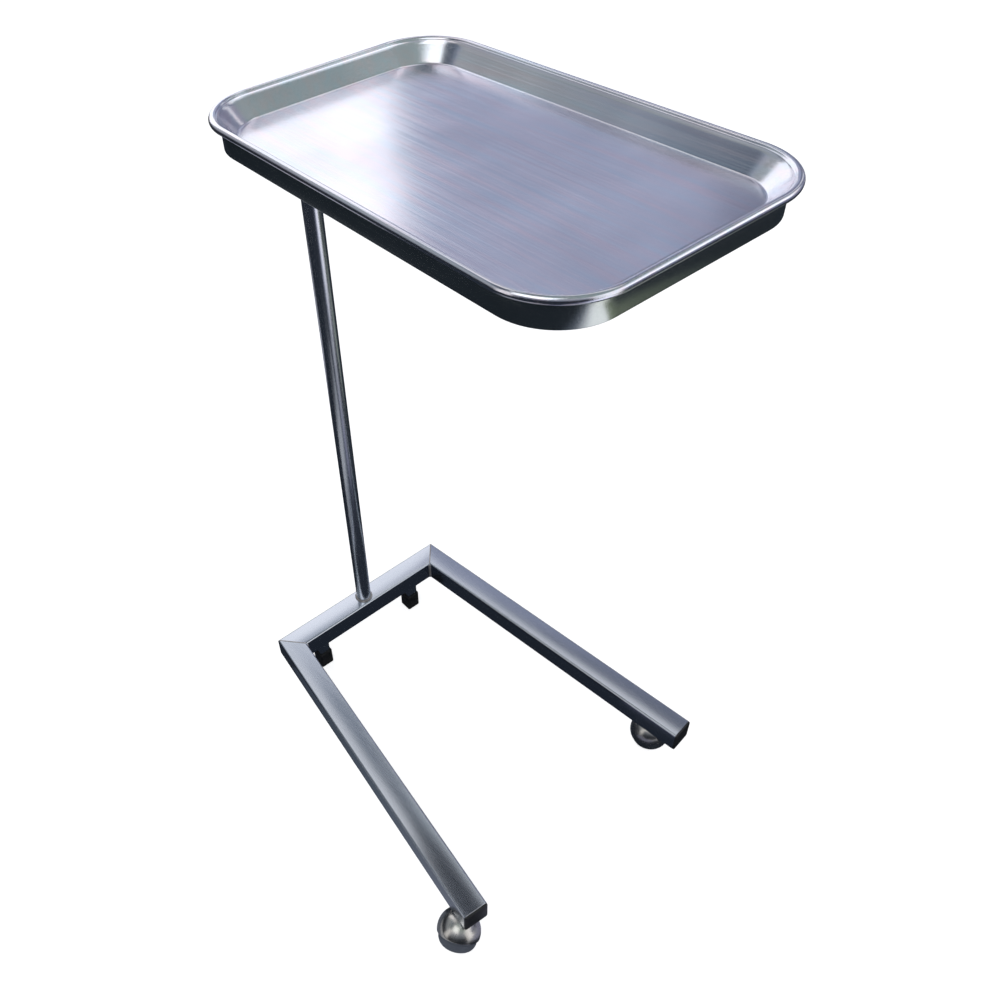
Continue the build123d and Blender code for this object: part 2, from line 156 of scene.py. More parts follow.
# Pressed stainless sheet with a satin polish: soft, bright haze and faint pink and blue cleaning streaks
traySteel = stainless("satinPressedStainless", {
    **tubeLook, "turn": (0, 0, math.pi / 2), "lineLength": 0.22, "lineSpacing": 0.0014, "lineStrength": 0.10,
    "patch": 0.13, "waveHeight": 0.0006, "dark": "#d6d7de", "light": "#eeeef3", "smooth": 0.15, "rough": 0.26,
    "tints": ("#fff5f8", "#f2f9ff"), "tintLength": 0.14, "tintWidth": 0.012,
})


# Moulded, plated, turned or welded: a fine random grain over broad, faint clouds of tone
def grained(name, look):
    material, tree, shader, place = newMaterial(name)
    noises = {}
    for key, detail in (("grain", look["detail"]), ("cloud", 2.0)):
        noise = addNode(tree, "ShaderNodeTexNoise", {"Scale": 1 / look[key], "Detail": detail},
                        {"Vector": place})
        noises[key] = noise.outputs["Fac"]
    bump = addNode(tree, "ShaderNodeBump",
                   {"Strength": look["grainStrength"], "Distance": look["grainDepth"]},
                   {"Height": noises["grain"]})
    finish(tree, shader, look, noises["cloud"], noises[look["roughBy"]], bump.outputs["Normal"])
    if look["metal"]:
        shader.inputs["Metallic"].default_value = 1.0
    else:
        shader.inputs["IOR"].default_value = look["ior"]
    return material


mouldedLook = {"metal": False, "detail": 3.0, "roughBy": "grain"}
platedLook = {"metal": True, "detail": 2.0, "roughBy": "cloud", "grainDepth": 0.00003}

# TIG weld metal: rippled, duller than the tube, with a straw heat tint
weldSteel = grained("tigWeldSeam", {
    **platedLook, "roughBy": "grain", "grain": 0.00111, "grainStrength": 0.3, "grainDepth": 0.0001,
    "cloud": 0.00625, "dark": "#8f8a86", "light": "#b9b6b8", "smooth": 0.24, "rough": 0.4})
# Polyethylene from a spark-eroded mould: dull black, with soft wide highlights
plugPlastic = grained("mouldedPolyethylene", {
    **mouldedLook, "grain": 0.0007, "grainStrength": 0.25, "grainDepth": 0.00006, "cloud": 0.03,
    "dark": "#131416", "light": "#1b1c1f", "smooth": 0.42, "rough": 0.58, "ior": 1.51})
# Moulded rubber: the dullest black on the stand, dusty at its grain
footRubber = grained("mouldedRubber", {
    **mouldedLook, "grain": 0.0009, "grainStrength": 0.3, "grainDepth": 0.00008, "cloud": 0.02,
    "dark": "#121315", "light": "#1d1e21", "smooth": 0.5, "rough": 0.68, "ior": 1.52})
# Natural nylon: ivory, slightly waxy
nylon = grained("naturalNylon", {
    **mouldedLook, "grain": 0.0006, "grainStrength": 0.15, "grainDepth": 0.00004, "cloud": 0.015,
    "dark": "#d6d2c4", "light": "#e4e1d6", "smooth": 0.32, "rough": 0.45, "ior": 1.53})
# Phenolic resin, tumbled: black with a firm shine
knobPlastic = grained("phenolicKnob", {
    **mouldedLook, "grain": 0.0012, "grainStrength": 0.08, "grainDepth": 0.00004, "cloud": 0.02,
    "dark": "#0f1012", "light": "#18191c", "smooth": 0.22, "rough": 0.34, "ior": 1.6})
# Dyed moulded nylon: charcoal, a little smoother than the tread round it
hubPlastic = grained("mouldedNylonHub", {
    **mouldedLook, "grain": 0.0008, "grainStrength": 0.15, "grainDepth": 0.00005, "cloud": 0.02,
    "dark": "#33363b", "light": "#3d4046", "smooth": 0.38, "rough": 0.5, "ior": 1.53})
# Non-marking tread rubber: blue-grey and matt
treadRubber = grained("greyTreadRubber", {
    **mouldedLook, "grain": 0.0010, "grainStrength": 0.35, "grainDepth": 0.00008, "cloud": 0.02,
    "dark": "#565c68", "light": "#646b77", "smooth": 0.48, "rough": 0.62, "ior": 1.52})
# Turned stainless: bright, with clear reflections
collarSteel = grained("turnedStainless", {
    **platedLook, "grain": 0.0006, "grainStrength": 0.2, "cloud": 0.03, "dark": "#a9adb2", "light": "#c6c9cd",
    "smooth": 0.16, "rough": 0.26})
# Bright zinc plate: cooler and hazier than stainless
zincSteel = grained("brightZincPlate", {
    **platedLook, "grain": 0.0008, "grainStrength": 0.3, "cloud": 0.012, "dark": "#a4a9b0",
    "light": "#c4c8cc", "smooth": 0.26, "rough": 0.38})
# Satin nickel plate: a warm grey mirror with softened reflections
hoodNickel = grained("satinNickelPlate", {
    **platedLook, "grain": 0.0005, "grainStrength": 0.15, "cloud": 0.02, "dark": "#b5b2ae",
    "light": "#cdcac6", "smooth": 0.22, "rough": 0.30})
print("materials made")


# A ring is a list of points; a loft joins rings of the same count with quads
def loft(rings, closed=False, caps=False):
    count = len(rings[0])
    points = [p for ring in rings for p in ring]
    faces = []
    for i in range(len(rings) if closed else len(rings) - 1):
        a, b = i * count, ((i + 1) % len(rings)) * count
        faces += [(a + k, a + (k + 1) % count, b + (k + 1) % count, b + k) for k in range(count)]
    if caps:
        faces.append(tuple(range(count)))
        faces.append(tuple(range(len(points) - count, len(points))))
    return points, faces


def roundedRectangle(width, length, radius, steps):
    spots = []
    for cornerX, cornerY, start in ((1, 1, 0), (-1, 1, 90), (-1, -1, 180), (1, -1, 270)):
        for i in range(steps + 1):
            turn = math.radians(start + 90 * i / steps)
            spots.append((cornerX * (width / 2 - radius) + radius * math.cos(turn),
                          cornerY * (length / 2 - radius) + radius * math.sin(turn)))
    return spots


def arc(centre, radius, start, end, steps):
    turns = [math.radians(start + (end - start) * i / steps) for i in range(steps + 1)]
    return [(centre[0] + radius * math.cos(t), centre[1] + radius * math.sin(t)) for t in turns]


# Turns a profile of (radius, along) round an axis
def spun(profile, centre, along, steps=96, closed=True):
    along = Vector(along).normalized()
    first = along.orthogonal().normalized()
    second = along.cross(first)
    rings = []
    for radius, height in profile:
        rings.append([Vector(centre) + along * height + (first * math.cos(t) + second * math.sin(t)) * radius
                      for t in (2 * math.pi * k / steps for k in range(steps))])
    return loft(rings, closed=closed)


# One object at the origin from shells in millimetres
def makePiece(name, shells, material, body, replaced=(), sharp=32):
    work = bmesh.new()
    for points, faces in shells:
        verts = [work.verts.new(Vector(p) * mm) for p in points]
        for face in faces:
            work.faces.new([verts[i] for i in face])
    bmesh.ops.remove_doubles(work, verts=work.verts, dist=1e-7)
    bmesh.ops.recalc_face_normals(work, faces=work.faces)
    mesh = bpy.data.meshes.new(name)
    work.to_mesh(mesh)
    work.free()
    mesh.shade_smooth()
    mesh.set_sharp_from_angle(angle=math.radians(sharp))
    return placePiece(name, mesh, material, body, replaced)


def placePiece(name, mesh, material, body, replaced=()):
    piece = bpy.data.objects.new(name, mesh)
    bpy.context.scene.collection.objects.link(piece)
    if not mesh.materials:
        mesh.materials.append(material)
    if replaced:
        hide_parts(*replaced)
    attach(piece, body)
    return piece


# One ring of the tray or of its frame, inset from the outline
def outlineRing(s, inset, height):
    return [Vector((x, y + s["middle"], height)) for x, y in roundedRectangle(
        s["width"] - 2 * inset, s["length"] - 2 * inset, s["corner"] - inset, s["cornerSteps"])]


trayShape = {
    "width": 326, "length": 520, "corner": 72, "middle": -32.5, "rim": 1032,
    "bead": 4, "flange": 7, "sheet": 1, "depth": 19, "slope": 41, "fillet": 3, "footStep": 0.4,
    "stepWidth": 2.0, "cornerSteps": 32,
}


def makeTray(s):
    beadMiddle = (s["bead"], s["rim"] - s["bead"])
    seat = s["rim"] - s["bead"] + s["sheet"] / 2
    floor = seat - s["depth"]
    slope = math.radians(s["slope"])
    lean = math.tan(slope)
    wallTop = s["flange"] + s["sheet"] / math.cos(slope)
    wallFoot = wallTop + s["depth"] * lean
    foldMiddle = wallFoot + s["fillet"] * math.tan((math.pi / 2 - slope) / 2)
    foldStart = 180 + s["slope"]
    # From under the floor out and up the wall to the crease behind the bead
    profile = [(foldMiddle + 3, floor - s["sheet"])]
    profile += arc((foldMiddle, floor + s["fillet"]), s["fillet"] + s["sheet"], 270, foldStart, 6)
    profile += [(s["flange"] + t * lean, seat - t) for t in (14, 9, 5, 2.2)]
    shoulder = ((-1.02, 1.5), (-0.68, 1.16), (-0.32, 0.98), (0.02, 0.66), (0.3, 0.12))
    # Round the rolled bead, over the soft shoulder inside it and down the wall
    profile += arc(beadMiddle, s["bead"], -9, -318, 44)
    profile += [(wallTop + u, seat + v) for u, v in shoulder]
    profile += [(wallTop + t * lean, seat - t) for t in (0.65, 3, 8, 13, 16.6)]
    step, wide = s["footStep"], s["stepWidth"]
    innerFold = foldMiddle + step * lean
    profile += arc((innerFold, floor + s["fillet"] - step), s["fillet"], foldStart, 270, 8)
    profile += [(innerFold + 0.3, floor - step), (innerFold + 0.3 + wide, floor - 0.05),
                (innerFold + 0.6 + wide, floor), (innerFold + 2.5 + wide, floor)]
    rings = [outlineRing(s, *spot) for spot in profile]
    return makePiece("trayPan", [loft(rings, caps=True)], traySteel, "tray", ["tray"], sharp=50)


frameShape = {
    "width": 306, "length": 500, "corner": 62, "middle": -32.5, "thickness": 3, "bottom": 998.5,
    "top": 1021.5, "edge": 0.6, "cornerSteps": 26,
}


def makeFrame(s):
    t, edge = s["thickness"], s["edge"]
    profile = arc((edge, s["bottom"] + edge), edge, 270, 180, 3)
    profile += arc((edge, s["top"] - edge), edge, 180, 90, 3)
    profile += arc((t - edge, s["top"] - edge), edge, 90, 0, 3)
    profile += arc((t - edge, s["bottom"] + edge), edge, 0, -90, 3)
    rings = [outlineRing(s, *spot) for spot in profile]
    return makePiece("trayFrameBar", [loft(rings, closed=True)], barSteel, "mast",
                     ["tray_frame"], sharp=60)


makeTray(trayShape)
makeFrame(frameShape)
print("tray and frame made")


# A flat bar from its outline, with its long edges eased
def slab(outline, bottom, top, edge, lowEdge=None):
    lowEdge = edge if lowEdge is None else lowEdge

    def ring(inset, height):
        made = []
        for i, spot in enumerate(outline):
            before, after = outline[i - 1], outline[(i + 1) % len(outline)]
            a = (Vector(spot) - Vector(before)).normalized()
            b = (Vector(after) - Vector(spot)).normalized()
            inward = (Vector((-a[1], a[0])) + Vector((-b[1], b[0]))).normalized()
            reach = inset / max(0.3, inward.dot(Vector((-a[1], a[0]))))
            made.append(Vector((spot[0] + inward[0] * reach, spot[1] + inward[1] * reach, height)))
        return made
    rings = [ring(lowEdge, bottom), ring(lowEdge * 0.3, bottom + lowEdge * 0.3), ring(0, bottom + lowEdge),
             ring(0, top - edge), ring(edge * 0.3, top - edge * 0.3), ring(edge, top)]
    return loft(rings, caps=True)


barShape = {
    "postY": 273.5, "armBottom": 988.5, "armTop": 998.5, "armWidth": 32, "armFront": -165,
    "bearerTop": 1002.5, "bearerHalf": 150, "bearerWidth": 25, "rearY": 87.5, "frontY": -152.5,
}


def makeBars(s):
    half = s["armWidth"] / 2
    outline = [(-half + 1.5, s["armFront"]), (half - 1.5, s["armFront"]), (half, s["armFront"] + 1.5)]
    outline += arc((0, s["postY"]), half, 0, 180, 40)
    outline += [(-half, s["armFront"] + 1.5)]
    makePiece("supportArmBar", [slab(outline, s["armBottom"], s["armTop"], 0.5, 1.0)], barSteel, "mast",
              ["support_arm"], sharp=40)
    for name, y, node in (("rearBearerBar", s["rearY"], "rear_bearer"),
                          ("frontBearerBar", s["frontY"], "front_bearer")):
        wide, deep = s["bearerHalf"], s["bearerWidth"] / 2
        outline = [(-wide, y - deep), (wide, y - deep), (wide, y + deep), (-wide, y + deep)]
        makePiece(name, [slab(outline, s["armTop"], s["bearerTop"], 0.5)], barSteel, "mast",
                  [node], sharp=40)


makeBars(barShape)

tubeShape = {
    "side": 38, "wall": 1.5, "corner": 3, "bottom": 64, "rearHalf": 171, "frontHalf": 232, "rearY": 292.5,
    "frontY": -260.5, "postY": 273.5,
}
flare = math.atan2(tubeShape["frontHalf"] - tubeShape["rearHalf"], tubeShape["rearY"] - tubeShape["frontY"])
middleZ = tubeShape["bottom"] + tubeShape["side"] / 2
# The legs have the crossbar's finish, with its lines turned along each of them
tubeLeft = stainless("linishedStainlessLeft", {**tubeLook, "turn": (0, 0, math.pi / 2 - flare)})
tubeRight = stainless("linishedStainlessRight", {**tubeLook, "turn": (0, 0, math.pi / 2 + flare)})


def legWay(side):
    return Vector((side * math.sin(flare), -math.cos(flare), 0))


def legInward(side):
    return Vector((-side * math.cos(flare), -math.sin(flare), 0))


def mitreNormal(side):
    bisector = Vector((-side, 0, 0)) + legWay(side)
    return bisector.normalized().cross(Vector((0, 0, 1)))


def cornerPoint(side, height=0.0):
    return Vector((side * tubeShape["rearHalf"], tubeShape["rearY"], height))


def innerCorner(side, height=0.0):
    bisector = Vector((-side, 0, 0)) + legWay(side)
    return cornerPoint(side, height) + bisector * (tubeShape["side"] / abs(bisector.y))


# Square tube between two cutting planes, hollow, with its drawn corners rounded
def squareTube(origin, way, across, startPlane, endPlane, easeEnd=0.0):
    s = tubeShape
    up = Vector((0, 0, 1))

    def ring(side, radius, plane, back=0.0):
        point, normal = plane
        made = []
        for u, v in roundedRectangle(side, side, radius, 6):
            spot = origin + across * u + up * v
            made.append(spot + way * ((point - spot).dot(normal) / way.dot(normal) - back))
        return made
    bore = s["side"] - 2 * s["wall"]
    rings = [ring(s["side"], s["corner"], startPlane)]
    if easeEnd:
        rings += [ring(s["side"], s["corner"], endPlane, easeEnd),
                  ring(s["side"] - 2 * easeEnd, s["corner"] - easeEnd, endPlane)]
    else:
        rings += [ring(s["side"], s["corner"], endPlane)]
    rings += [ring(bore, s["corner"] - s["wall"], endPlane), ring(bore, s["corner"] - s["wall"], startPlane)]
    return loft(rings, closed=True)


def legEnd(side, height):
    outer = Vector((side * tubeShape["frontHalf"], tubeShape["frontY"], height))
    return outer + legInward(side) * (tubeShape["side"] / 2)


def makeBase():
    across = Vector((0, 1, 0))
    origin = Vector((0, tubeShape["postY"], middleZ))
    planes = [(cornerPoint(side), mitreNormal(side)) for side in (-1, 1)]
    makePiece("crossbarTube", [squareTube(origin, Vector((1, 0, 0)), across, planes[0], planes[1])],
              tubeAcross, "base", ["crossbar"])
    for side, hand, material in ((-1, "left", tubeLeft), (1, "right", tubeRight)):
        end = legEnd(side, middleZ)
        shell = squareTube(end, legWay(side), legInward(side), (cornerPoint(side), mitreNormal(side)),
                           (end, legWay(side)), easeEnd=0.4)
        makePiece(hand + "LegTube", [shell], material, "base", [hand + "_leg"])


makeBase()
print("base tubes made")

plugShape = {
    "spigot": 18, "spigotSide": 34.5, "wall": 2.5, "flangeGap": 0.3, "edge": 1.5, "edgeWidth": 2.4,
    "edgeCorner": 3.4,
    "dome": ((29, 3.35), (24, 3.62), (18, 3.82), (11, 3.95), (5, 4.0)),  # widths and heights over the flange
}


# The plug's flange rises in a soft dome from a rounded edge
def makePlug(side, hand):
    end, way, inward, up = legEnd(side, middleZ), legWay(side), legInward(side), Vector((0, 0, 1))

    def ring(width, radius, depth):
        return [end + inward * u + up * v + way * depth for u, v in roundedRectangle(width, width, radius, 8)]
    s = plugShape
    full = tubeShape["side"] - s["flangeGap"]
    hollow = s["spigotSide"] - 2 * s["wall"]
    rings = [ring(hollow, 1.0, -2.0), ring(hollow, 1.0, -s["spigot"]),
             ring(s["spigotSide"] - 1.2, 1.5, -s["spigot"]), ring(s["spigotSide"], 1.5, -s["spigot"] + 1.5),
             ring(s["spigotSide"], 1.5, 0.0), ring(full - 0.5, 3.0, 0.02), ring(full, 3.2, 0.35),
             ring(full, 3.2, 1.5)]
    for i in range(1, 9):
        turn = math.radians(90 * i / 8)
        drawn = 1 - math.cos(turn)
        rings.append(ring(full - 2 * s["edgeWidth"] * drawn, s["edgeCorner"] - s["edgeWidth"] / 2 * drawn,
                          s["edge"] * (1 + math.sin(turn))))
    for width, depth in s["dome"]:
        rings.append(ring(width, min(5, width / 2 - 0.4), depth))
    makePiece(hand + "LegPlug", [loft(rings, caps=True)], plugPlastic, "base",
              [hand + "_leg_plug"], sharp=38)


footShape = {
    "spacing": 200, "stem": 20, "stemWall": 1.5, "cap": 24.6, "sole": 6, "capHeight": 34, "y": 273.5,
    "top": 64, "grooves": (8, 12, 16), "grooveHalf": 0.8, "grooveDepth": 0.9,
}


def makeFoot(side, hand):
    s = footShape
    x = side * s["spacing"] / 2

    def ring(width, radius, height):
        return [Vector((x + u, s["y"] + v, height)) for u, v in roundedRectangle(width, width, radius, 6)]
    bore = s["stem"] - 2 * s["stemWall"]
    stem = loft([ring(s["stem"], 1.6, s["sole"]), ring(s["stem"], 1.6, s["top"]), ring(bore, 0.6, s["top"]),
                 ring(bore, 0.6, s["sole"])], closed=True)
    makePiece(hand + "FootStem", [stem], tubeUp, "base", [hand + "_foot_stem"])
    rings = [ring(s["cap"] - 9, 1.0, 0.6), ring(s["cap"] - 8, 1.0, 0.0), ring(s["cap"] - 3.2, 2.0, 0.0),
             ring(s["cap"] - 1.2, 2.4, 0.35), ring(s["cap"] - 0.3, 2.6, 1.1), ring(s["cap"], 2.6, 2.2)]
    for z in s["grooves"]:
        rings += [ring(s["cap"], 2.6, z - s["grooveHalf"]), ring(s["cap"] - s["grooveDepth"], 2.2, z),
                  ring(s["cap"], 2.6, z + s["grooveHalf"])]
    rings += [ring(s["cap"], 2.6, s["capHeight"] - 3.2), ring(s["cap"] - 0.2, 2.6, s["capHeight"] - 0.8),
              ring(s["cap"] - 1.2, 2.2, s["capHeight"]), ring(s["stem"] + 0.6, 1.8, s["capHeight"]),
              ring(s["stem"] + 0.1, 1.6, s["capHeight"] - 0.8), ring(s["stem"] + 0.1, 1.6, s["sole"])]
    makePiece(hand + "FootCap", [loft(rings, caps=True)], footRubber, "base",
              [hand + "_foot_cap"], sharp=38)


for side, hand in ((-1, "left"), (1, "right")):
    makePlug(side, hand)
    makeFoot(side, hand)
print("plugs and feet made")

postShape = {
    "y": 273.5, "radius": 12.7, "bore": 11.2, "bottom": 65.5, "top": 955, "mastRadius": 9.5,
    "mastBore": 8.0, "mastBottom": 555, "mastTop": 988.5, "collarRadius": 18, "collarBottom": 933,
    "collarShoulder": 957, "collarTop": 979, "screwHeight": 968, "bossRadius": 8, "bossEnd": 25,
    "screwRadius": 4, "screwStart": 9.8, "knobStart": 28, "knobEnd": 43, "knobRadius": 18, "knobEdge": 2.2,
    "lobes": 7, "scallop": 5, "bushBottom": 929, "bushLip": 2, "slideGap": 0.08, "grooveHeight": 944.5,
    "bossFoot": 16, "screwTip": 38, "threadStart": 10.6, "threadEnd": 37, "pitch": 1.25,
}


def makePost(s):
    axis, up = (0, s["y"], 0), (0, 0, 1)
    post = [(s["radius"], s["bottom"]), (s["radius"], s["top"] - 0.3), (s["radius"] - 0.3, s["top"]),
            (s["bore"], s["top"]), (s["bore"], s["bottom"])]
    makePiece("outerPostTube", [spun(post, axis, up)], tubeUp, "base", ["outer_post"])
    mast = [(s["mastRadius"], s["mastBottom"]), (s["mastRadius"], s["mastTop"]),
            (s["mastBore"], s["mastTop"]), (s["mastBore"], s["mastBottom"])]
    makePiece("mastTube", [spun(mast, axis, up)], tubeUp, "mast", ["mast"])
    slide = s["mastRadius"] + s["slideGap"]
    low, lip, sleeve = s["bushBottom"], s["top"] + s["bushLip"], s["bore"] - 0.05
    bush = [(slide, low), (sleeve, low), (sleeve, s["top"]), (s["radius"], s["top"]), (s["radius"], lip),
            (slide, lip)]
    makePiece("postBushSleeve", [spun(bush, axis, up)], nylon, "base", ["post_bush"])
    r, low, high = s["collarRadius"], s["collarBottom"], s["collarTop"]
    collar = [(s["radius"] + 0.1, low + 0.4), (s["radius"] + 0.5, low)] + arc((r - 1, low + 1), 1, -90, 0, 5)
    groove = s["grooveHeight"]  # a turned line above the skirt
    collar += [(r, groove - 0.9), (r - 0.35, groove - 0.5), (r - 0.35, groove + 0.5), (r, groove + 0.9)]
    collar += arc((r - 1, high - 1), 1, 0, 90, 5)
    collar += [(slide + 0.5, high), (slide, high - 0.5), (slide, s["collarShoulder"]),
               (s["radius"] + 0.1, s["collarShoulder"])]
    foot, wide = s["bossFoot"], s["bossRadius"]
    boss = [(s["screwRadius"] + 0.1, foot), (wide + 3, foot - 1.5), (wide + 1.2, foot + 1.2),
            (wide + 0.4, foot + 2.6), (wide, foot + 4)]
    boss += arc((s["bossRadius"] - 0.8, s["bossEnd"] - 0.8), 0.8, 0, 90, 4)
    boss += [(s["screwRadius"] + 0.6, s["bossEnd"]), (s["screwRadius"] + 0.1, s["bossEnd"] - 0.5)]
    shells = [spun(collar, axis, up), spun(boss, (0, s["y"], s["screwHeight"]), (1, 0, 0), 64)]
    makePiece("clampCollarBody", shells, collarSteel, "base", ["clamp_collar"])


def makeKnob(s):
    steps = s["lobes"] * 20
    centre = Vector((0, s["y"], s["screwHeight"]))

    def ring(inset, x, flat=0.0):
        made = []
        for k in range(steps):
            turn = 2 * math.pi * k / steps
            near = (turn * s["lobes"] / (2 * math.pi) + 0.5) % 1 - 0.5
            off = near * 2 * math.pi / s["lobes"]
            away, cut = s["knobRadius"] + s["scallop"] / 2, s["scallop"]
            beside = away * math.sin(off)
            inside = s["knobRadius"]
            if abs(beside) < cut:
                inside = min(inside, away * math.cos(off) - math.sqrt(cut ** 2 - beside ** 2))
            radius = (inside - inset) * (1 - flat) + (s["knobRadius"] - cut - inset) * flat
            made.append(centre + Vector((x, radius * math.cos(turn), radius * math.sin(turn))))
        return made
    a, b = s["knobStart"], s["knobEnd"]
    rings = [ring(2.5, a, 1), ring(0.8, a), ring(0.2, a + 0.3), ring(0, a + 1)]
    edge = s["knobEdge"]
    for i in range(7):
        turn = math.radians(15 * i)
        rings.append(ring(edge * (1 - math.cos(turn)), b - edge * (1 - math.sin(turn))))
    rings += [ring(3.6, b, 1), ring(4.2, b - 0.5, 1), ring(5.2, b - 0.5, 1), ring(5.8, b - 0.1, 1),
              ring(9, b - 0.02, 1)]
    makePiece("clampKnobLobes", [loft(rings, caps=True)], knobPlastic, "clamp",
              ["clamp_knob"], sharp=45)


makePost(postShape)
makeKnob(postShape)
print("post and clamp made")

casterShape = {
    "inset": 30, "trail": 24, "leftAngle": 214, "rightAngle": 80, "tilt": 45, "height": 31,
    "hoodRadius": 31, "hoodWall": 2, "hem": 6, "axleBoss": 7, "bossFace": -3.3, "axleRoot": -14,
    "neckRadius": 9, "neckBottom": 44, "neckTop": 59.7, "wheelRadius": 27.5, "wheelRound": 15.5,
    "wheelStart": -3, "straight": 9.92, "hubRadius": 12, "hubEnd": 24.42, "capTop": 25.3, "axleRadius": 3,
    "pinRadius": 4,
}


# The ball hood turns about the tilted axle's line, open on the side that the wheel looks out of
def makeHood(hand, stud, centre, way, s):
    outer, inner = s["hoodRadius"], s["hoodRadius"] - s["hoodWall"]
    hemTurn = math.degrees(math.asin((s["hem"] - 0.8) / outer))
    innerTurn = math.degrees(math.asin((s["hem"] - 0.6) / inner))
    bossTurn = -math.degrees(math.acos(s["axleBoss"] / inner))
    profile = [(0, -outer)] + arc((0, 0), outer, -89, hemTurn, 52)
    hemEdge = outer * math.cos(math.radians(hemTurn))
    profile += [(hemEdge - 0.15, s["hem"] - 0.25), (hemEdge - 0.6, s["hem"]), (hemEdge - 1.3, s["hem"])]
    profile += arc((0, 0), inner, innerTurn, bossTurn, 30)
    profile += [(s["axleBoss"], s["bossFace"] - 0.5), (s["axleBoss"] - 0.5, s["bossFace"]),
                (s["axleRadius"] + 0.1, s["bossFace"]), (s["axleRadius"] + 0.1, s["axleRoot"]),
                (0, s["axleRoot"])]
    neck = [(s["pinRadius"] + 0.1, s["neckBottom"]), (s["neckRadius"], s["neckBottom"]),
            (s["neckRadius"], s["neckTop"] - 0.6), (s["neckRadius"] - 0.6, s["neckTop"]),
            (s["pinRadius"] + 0.1, s["neckTop"])]
    shells = [spun(profile, centre, way, 128, closed=False), spun(neck, (stud.x, stud.y, 0), (0, 0, 1), 64)]
    makePiece(hand + "CasterHood", shells, hoodNickel, hand + "_caster",
              [hand + "_caster_hood"], sharp=40)


# The bell wheel: a straight tread under the hood and a round shoulder that meets the floor
def makeWheel(hand, centre, way, s):
    start, r, straight = s["wheelStart"], s["wheelRadius"], s["straight"]
    face, cap = s["hubEnd"], s["capTop"]
    hub = [(0, face - 0.8), (s["axleRadius"] + 0.1, face - 0.8), (s["axleRadius"] + 0.1, start),
           (s["hubRadius"], start), (s["hubRadius"], face), (s["hubRadius"] - 0.9, face),
           (s["hubRadius"] - 1.6, face - 0.5), (7.4, face - 0.5), (6.8, face - 0.1), (6.2, face + 0.05),
           (5.6, face + 0.35), (4.2, face + 0.68), (2.2, cap - 0.04), (0, cap)]
    makePiece(hand + "WheelHub", [spun(hub, centre, way, 72, closed=False)], hubPlastic, hand + "_wheel",
              [hand + "_wheel_hub"])
    tread = [(s["hubRadius"], start), (r - 0.8, start), (r - 0.2, start + 0.25), (r, start + 0.9),
             (r, straight - 1.6), (r - 0.4, straight - 1.3), (r - 0.4, straight - 0.8),
             (r, straight - 0.5)]  # the mould's parting groove
    tread += arc((s["hubRadius"], straight), s["wheelRound"], 0, 88, 24)
    tread += [(s["hubRadius"], straight + s["wheelRound"] - 0.2)]
    makePiece(hand + "WheelTread", [spun(tread, centre, way, 112)], treadRubber, hand + "_wheel",
              [hand + "_wheel_tread"], sharp=40)


for side, hand, angle in ((-1, "left", casterShape["leftAngle"]), (1, "right", casterShape["rightAngle"])):
    stud = legEnd(side, 0) - legWay(side) * casterShape["inset"]
    aim = Vector((math.cos(math.radians(angle)), math.sin(math.radians(angle)), 0))
    tilt = math.radians(casterShape["tilt"])
    ballMiddle = stud + aim * casterShape["trail"] + Vector((0, 0, casterShape["height"]))
    axleWay = aim * math.cos(tilt) - Vector((0, 0, math.sin(tilt)))
    makeHood(hand, stud, ballMiddle, axleWay, casterShape)
    makeWheel(hand, ballMiddle, axleWay, casterShape)
print("casters made")

# Weld beads: overlapping ripples laid along a path
weldShape = {"spacing": 1.2, "seed": 4}


def weldTree():
    tree = bpy.data.node_groups.new("weldRipples", "GeometryNodeTree")
    sockets = {}
    for name, kind in (("Geometry", "NodeSocketGeometry"), ("Spacing", "NodeSocketFloat"),
                       ("Size", "NodeSocketFloat"), ("Height", "NodeSocketFloat"),
                       ("Seed", "NodeSocketInt"), ("Metal", "NodeSocketMaterial")):
        sockets[name] = tree.interface.new_socket(name, in_out="INPUT", socket_type=kind).identifier
    tree.interface.new_socket("Geometry", in_out="OUTPUT", socket_type="NodeSocketGeometry")
    given = addNode(tree, "NodeGroupInput").outputs
    path = addNode(tree, "GeometryNodeMeshToCurve", links={"Mesh": given["Geometry"]})
    even = addNode(tree, "GeometryNodeResampleCurve",
                   links={"Curve": path.outputs["Curve"], "Length": given["Spacing"]}, mode="LENGTH")
    ball = addNode(tree, "GeometryNodeMeshIcoSphere", {"Radius": 1.0, "Subdivisions": 3})
    smooth = addNode(tree, "GeometryNodeSetShadeSmooth", links={"Geometry": ball.outputs["Mesh"]})
    tangent = addNode(tree, "GeometryNodeInputTangent")
    turned = addNode(tree, "FunctionNodeAlignRotationToVector", links={"Vector": tangent.outputs["Tangent"]},
                     axis="X")
    wobble = addNode(tree, "FunctionNodeRandomValue", {"Min": 0.92, "Max": 1.06}, {"Seed": given["Seed"]},
                     data_type="FLOAT")
    wide = addNode(tree, "ShaderNodeMath", links={0: given["Size"], 1: wobble.outputs["Value"]},
                   operation="MULTIPLY")
    along = addNode(tree, "ShaderNodeMath", {1: 1.0}, {0: given["Spacing"]}, operation="MULTIPLY")
    size = addNode(tree, "ShaderNodeCombineXYZ",
                   links={"X": along.outputs[0], "Y": wide.outputs[0], "Z": given["Height"]})
    laid = addNode(tree, "GeometryNodeInstanceOnPoints", links={ "Points": even.outputs["Curve"],
        "Instance": smooth.outputs["Geometry"], "Rotation": turned.outputs["Rotation"],
        "Scale": size.outputs["Vector"]})
    real = addNode(tree, "GeometryNodeRealizeInstances", links={"Geometry": laid.outputs["Instances"]})
    metal = addNode(tree, "GeometryNodeSetMaterial",
                    links={"Geometry": real.outputs["Geometry"], "Material": given["Metal"]})
    addNode(tree, "NodeGroupOutput", links={"Geometry": metal.outputs["Geometry"]})
    return tree, sockets


